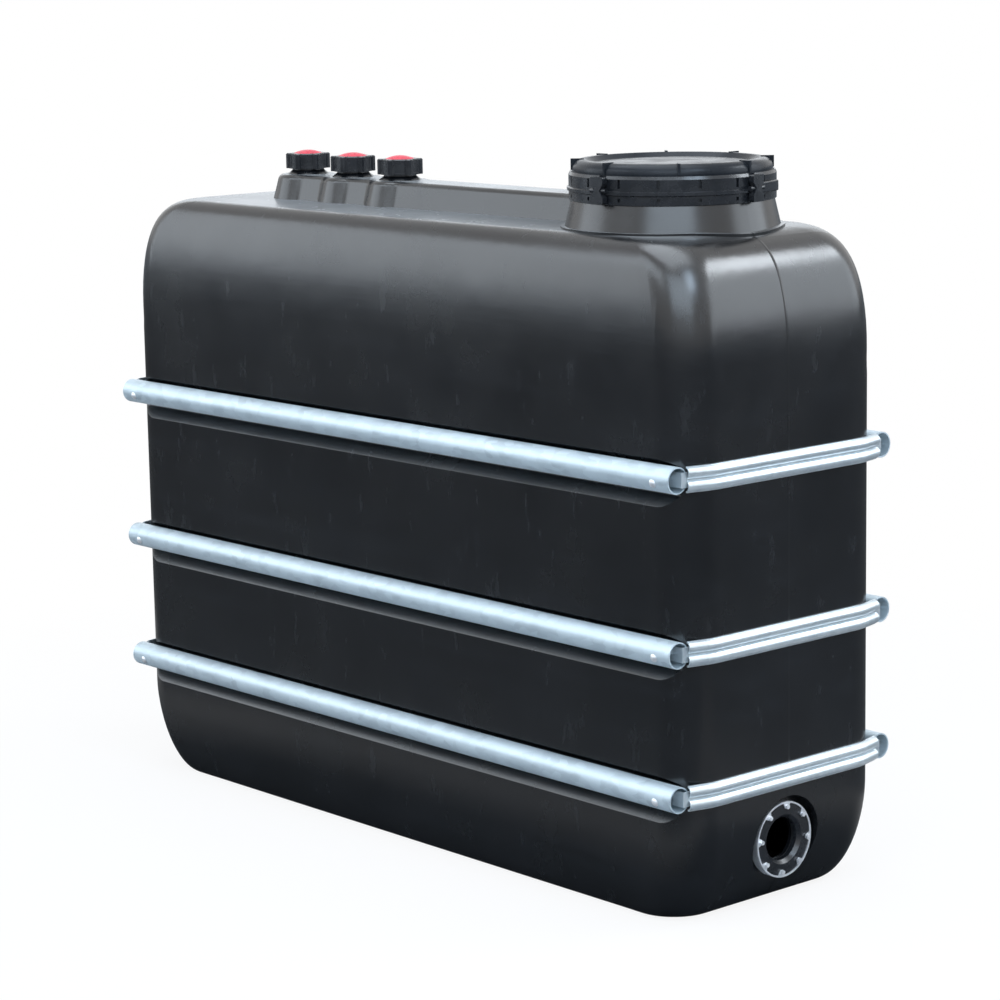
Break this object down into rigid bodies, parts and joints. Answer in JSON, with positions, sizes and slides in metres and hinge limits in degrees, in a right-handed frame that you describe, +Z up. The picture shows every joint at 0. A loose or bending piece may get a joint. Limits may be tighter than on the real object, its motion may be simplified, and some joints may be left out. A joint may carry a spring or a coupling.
{
  "type": "chemical storage tank",
  "caption": "Oblong hollow plastic storage tank held by galvanised tube hoops, with a manhole, screw-capped filler necks and a low outlet flange",
  "frame": {"origin": "centre of the base, on the floor", "axes": "+X along the tank towards the end with the manhole and the outlet, +Y towards the back long side, +Z up"},
  "size_m": [2.1066, 0.729, 1.6881],
  "materials": {
    "tank_plastic": "satin black polyethylene",
    "clamp_plastic": "moulded black plastic",
    "lid_plastic": "glossy black plastic",
    "red_plastic": "red plastic, slightly glossy",
    "gasket_rubber": "black rubber",
    "tube_zinc": "hot-dip galvanised steel tube",
    "bar_zinc": "bright galvanised steel profile",
    "pin_steel": "zinc-plated steel"
  },
  "bodies": {
    "root": {"tank_floor": "tank_plastic", "tank_front_wall": "tank_plastic", "tank_back_wall": "tank_plastic", "tank_roof": "tank_plastic", "tank_outlet_end": "tank_plastic", "tank_filler_end": "tank_plastic", "manhole_collar": "tank_plastic", "manhole_gasket": "gasket_rubber", "manhole_lid": "lid_plastic", "clamp_segment_1": "clamp_plastic", "clamp_segment_2": "clamp_plastic", "clamp_segment_3": "clamp_plastic", "clamp_segment_4": "clamp_plastic", "clamp_closure_1": "clamp_plastic", "clamp_closure_2": "clamp_plastic", "clamp_closure_3": "clamp_plastic", "clamp_closure_4": "clamp_plastic", "filler_neck_1": "tank_plastic", "filler_neck_2": "tank_plastic", "filler_neck_3": "tank_plastic", "filler_cap_1": "clamp_plastic", "filler_cap_2": "clamp_plastic", "filler_cap_3": "clamp_plastic", "filler_disc_1": "red_plastic", "filler_disc_2": "red_plastic", "filler_disc_3": "red_plastic", "lower_hoop_front_tube": "tube_zinc", "lower_hoop_back_tube": "tube_zinc", "lower_hoop_outlet_bar": "bar_zinc", "lower_hoop_filler_bar": "bar_zinc", "lower_hoop_pins": "pin_steel", "middle_hoop_front_tube": "tube_zinc", "middle_hoop_back_tube": "tube_zinc", "middle_hoop_outlet_bar": "bar_zinc", "middle_hoop_filler_bar": "bar_zinc", "middle_hoop_pins": "pin_steel", "upper_hoop_front_tube": "tube_zinc", "upper_hoop_back_tube": "tube_zinc", "upper_hoop_outlet_bar": "bar_zinc", "upper_hoop_filler_bar": "bar_zinc", "upper_hoop_pins": "pin_steel", "outlet_gasket": "gasket_rubber", "outlet_flange": "clamp_plastic", "outlet_ring": "pin_steel", "outlet_bolts": "pin_steel"}
  },
  "joints": []
}
